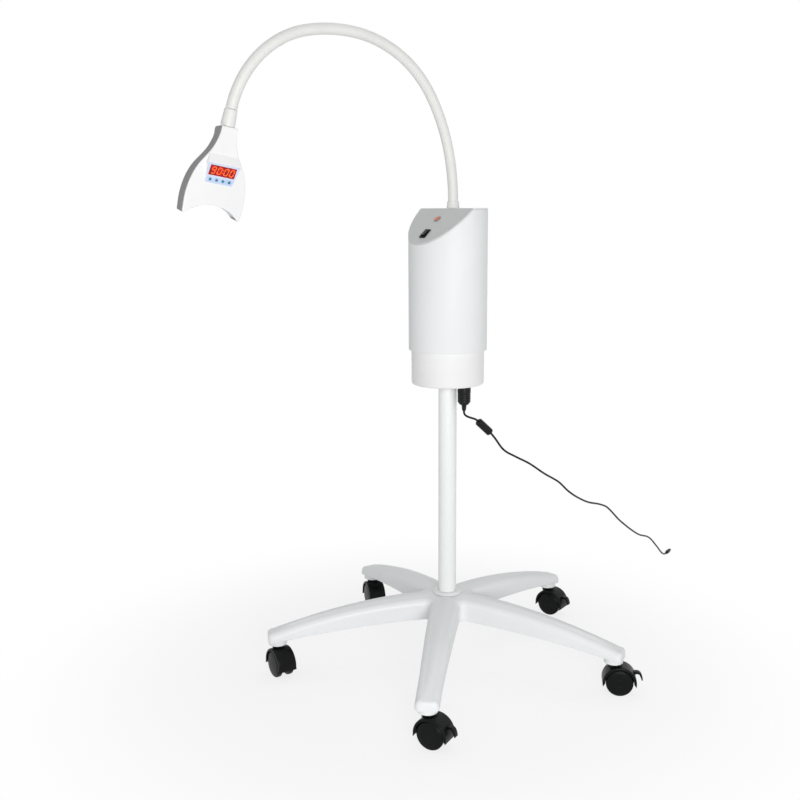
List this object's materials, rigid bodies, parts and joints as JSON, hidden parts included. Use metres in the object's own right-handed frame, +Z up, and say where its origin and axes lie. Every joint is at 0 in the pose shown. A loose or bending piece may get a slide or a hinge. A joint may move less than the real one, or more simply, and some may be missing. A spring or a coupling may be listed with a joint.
{
  "type": "teeth whitening lamp",
  "caption": "Mobile dental whitening lamp: gooseneck light head with timer display on a column with power box and star base on castors.",
  "frame": {"origin": "floor level, at the centre of the part's box in plan, without the cord", "axes": "+Z up the column; -Y the way the control panel faces and the neck leans; the head's display and keys face along +X"},
  "size_m": [0.696, 1.3746, 1.179],
  "materials": {
    "base_white": "glossy moulded nylon",
    "white_coat": "satin powder coat on sheet steel",
    "white_plastic": "smooth gloss moulding",
    "neck_sleeve": "soft satin sleeve",
    "panel_grey": "fine satin coat",
    "shell_grey": "fine grained moulding",
    "black_plastic": "smooth nylon moulding",
    "black_rubber": "matt cable jacket",
    "steel": "zinc plated",
    "aluminium": "raw extrusion",
    "board": "solder mask",
    "amber_lens": "clear tinted lens",
    "cream_plastic": "smooth moulding",
    "display_red": "tinted display window",
    "display_panel": "printed overlay film",
    "key_teal": "smooth moulding",
    "light_window": "clear diffuser"
  },
  "bodies": {
    "stand": {"bottom_cap": "white_plastic", "box_shell": "white_coat", "column_clamp": "steel", "column_ring": "white_plastic", "column_tube": "white_coat", "control_panel": "panel_grey", "ferrite_bead": "black_plastic", "front_left_stem": "steel", "front_right_stem": "steel", "inlet_socket": "cream_plastic", "lead": "black_rubber", "lead_connector": "black_plastic", "lead_to_bead": "black_rubber", "left_stem": "steel", "neck_1": "neck_sleeve", "neck_collar": "white_plastic", "pilot_lamp": "amber_lens", "power_board": "board", "power_plug": "black_plastic", "rear_stem": "steel", "right_stem": "steel", "rocker_housing": "black_plastic", "star_base": "base_white", "top_plate": "white_coat"},
    "rocker": {"rocker": "black_plastic"},
    "head": {"ferrule": "white_plastic", "rear_shell": "shell_grey", "front_cover": "white_plastic", "light_window": "light_window", "led_board": "board", "heat_sink": "aluminium", "display_module": "display_red", "display_panel": "display_panel"},
    "neck_2": {"neck_2": "neck_sleeve"},
    "neck_3": {"neck_3": "neck_sleeve"},
    "neck_4": {"neck_4": "neck_sleeve"},
    "neck_5": {"neck_5": "neck_sleeve"},
    "neck_6": {"neck_6": "neck_sleeve"},
    "neck_7": {"neck_7": "neck_sleeve"},
    "key_1": {"key_1": "key_teal"},
    "key_2": {"key_2": "key_teal"},
    "key_3": {"key_3": "key_teal"},
    "key_4": {"key_4": "key_teal"},
    "front_right_castor": {"front_right_hood": "black_plastic"},
    "front_right_wheel_pair": {"front_right_wheels": "black_plastic"},
    "front_right_lever": {"front_right_brake_lever": "black_plastic"},
    "right_castor": {"right_hood": "black_plastic"},
    "right_wheel_pair": {"right_wheels": "black_plastic"},
    "right_lever": {"right_brake_lever": "black_plastic"},
    "rear_castor": {"rear_hood": "black_plastic"},
    "rear_wheel_pair": {"rear_wheels": "black_plastic"},
    "rear_lever": {"rear_brake_lever": "black_plastic"},
    "left_castor": {"left_hood": "black_plastic"},
    "left_wheel_pair": {"left_wheels": "black_plastic"},
    "front_left_castor": {"front_left_hood": "black_plastic"},
    "front_left_wheel_pair": {"front_left_wheels": "black_plastic"}
  },
  "joints": [
    {"name": "neck_bend_1", "type": "hinge", "parent": "stand", "child": "neck_2", "pos_m": [0.0039, 0.07106, 0.98758], "axis": [1, 0, 0], "range_deg": [-25, 8]},
    {"name": "neck_bend_2", "type": "hinge", "parent": "neck_2", "child": "neck_3", "pos_m": [0.0039, 0.03149, 1.07483], "axis": [1, 0, 0], "range_deg": [-25, 8]},
    {"name": "neck_bend_3", "type": "hinge", "parent": "neck_3", "child": "neck_4", "pos_m": [0.0039, -0.03866, 1.13933], "axis": [1, 0, 0], "range_deg": [-25, 8]},
    {"name": "neck_bend_4", "type": "hinge", "parent": "neck_4", "child": "neck_5", "pos_m": [0.0039, -0.12987, 1.16791], "axis": [1, 0, 0], "range_deg": [-25, 8]},
    {"name": "neck_bend_5", "type": "hinge", "parent": "neck_5", "child": "neck_6", "pos_m": [0.00029, -0.22553, 1.16358], "axis": [1, 0, 0], "range_deg": [-25, 8]},
    {"name": "neck_bend_6", "type": "hinge", "parent": "neck_6", "child": "neck_7", "pos_m": [-0.01051, -0.30908, 1.11985], "axis": [1, 0, 0], "range_deg": [-25, 8]},
    {"name": "head_swivel", "type": "hinge", "parent": "neck_7", "child": "head", "pos_m": [-0.03483, -0.35697, 1.01073], "axis": [-0.2249, -0.1625, -0.9607], "range_deg": [-90, 90]},
    {"name": "rocker_tilt", "type": "hinge", "parent": "stand", "child": "rocker", "pos_m": [0.0039, 0.01779, 0.83444], "axis": [1, 0, 0], "range_deg": [0, 16]},
    {"name": "key_1_press", "type": "slide", "parent": "head", "child": "key_1", "axis": [-0.8864, 0.0772, 0.4564], "range_m": [0, 0.0005], "stiffness_N_per_m": 150},
    {"name": "key_2_press", "type": "slide", "parent": "head", "child": "key_2", "axis": [-0.8864, 0.0772, 0.4564], "range_m": [0, 0.0005], "stiffness_N_per_m": 150},
    {"name": "key_3_press", "type": "slide", "parent": "head", "child": "key_3", "axis": [-0.8864, 0.0772, 0.4564], "range_m": [0, 0.0005], "stiffness_N_per_m": 150},
    {"name": "key_4_press", "type": "slide", "parent": "head", "child": "key_4", "axis": [-0.8864, 0.0772, 0.4564], "range_m": [0, 0.0005], "stiffness_N_per_m": 150},
    {"name": "front_right_swivel", "type": "hinge", "parent": "stand", "child": "front_right_castor", "pos_m": [0.2327, -0.1705, 0.06], "axis": [0, 0, 1], "continuous": true},
    {"name": "front_right_roll", "type": "hinge", "parent": "front_right_castor", "child": "front_right_wheel_pair", "pos_m": [0.24337, -0.16619, 0.025], "axis": [-0.3746, 0.9272, 0], "continuous": true},
    {"name": "front_right_brake", "type": "hinge", "parent": "front_right_castor", "child": "front_right_lever", "pos_m": [0.26562, -0.1572, 0.0405], "axis": [-0.3746, 0.9272, 0], "range_deg": [0, 17]},
    {"name": "right_swivel", "type": "hinge", "parent": "stand", "child": "right_castor", "pos_m": [0.30471, 0.21428, 0.06], "axis": [0, 0, 1], "continuous": true},
    {"name": "right_roll", "type": "hinge", "parent": "right_castor", "child": "right_wheel_pair", "pos_m": [0.31299, 0.22227, 0.025], "axis": [-0.6947, 0.7193, 0], "continuous": true},
    {"name": "right_brake", "type": "hinge", "parent": "right_castor", "child": "right_lever", "pos_m": [0.33025, 0.23894, 0.0405], "axis": [-0.6947, 0.7193, 0], "range_deg": [0, 17]},
    {"name": "rear_swivel", "type": "hinge", "parent": "stand", "child": "rear_castor", "pos_m": [-0.03899, 0.40167, 0.06], "axis": [0, 0, 1], "continuous": true},
    {"name": "rear_roll", "type": "hinge", "parent": "rear_castor", "child": "rear_wheel_pair", "pos_m": [-0.02793, 0.40484, 0.025], "axis": [-0.2756, 0.9613, 0], "continuous": true},
    {"name": "rear_brake", "type": "hinge", "parent": "rear_castor", "child": "rear_lever", "pos_m": [-0.00486, 0.41146, 0.0405], "axis": [-0.2756, 0.9613, 0], "range_deg": [0, 17]},
    {"name": "left_swivel", "type": "hinge", "parent": "stand", "child": "left_castor", "pos_m": [-0.32341, 0.1327, 0.06], "axis": [0, 0, 1], "continuous": true},
    {"name": "left_roll", "type": "hinge", "parent": "left_castor", "child": "left_wheel_pair", "pos_m": [-0.31261, 0.12877, 0.025], "axis": [0.342, 0.9397, 0], "continuous": true},
    {"name": "front_left_swivel", "type": "hinge", "parent": "stand", "child": "front_left_castor", "pos_m": [-0.1555, -0.22092, 0.06], "axis": [0, 0, 1], "continuous": true},
    {"name": "front_left_roll", "type": "hinge", "parent": "front_left_castor", "child": "front_left_wheel_pair", "pos_m": [-0.14406, -0.22212, 0.025], "axis": [0.1045, 0.9945, 0], "continuous": true}
  ]
}
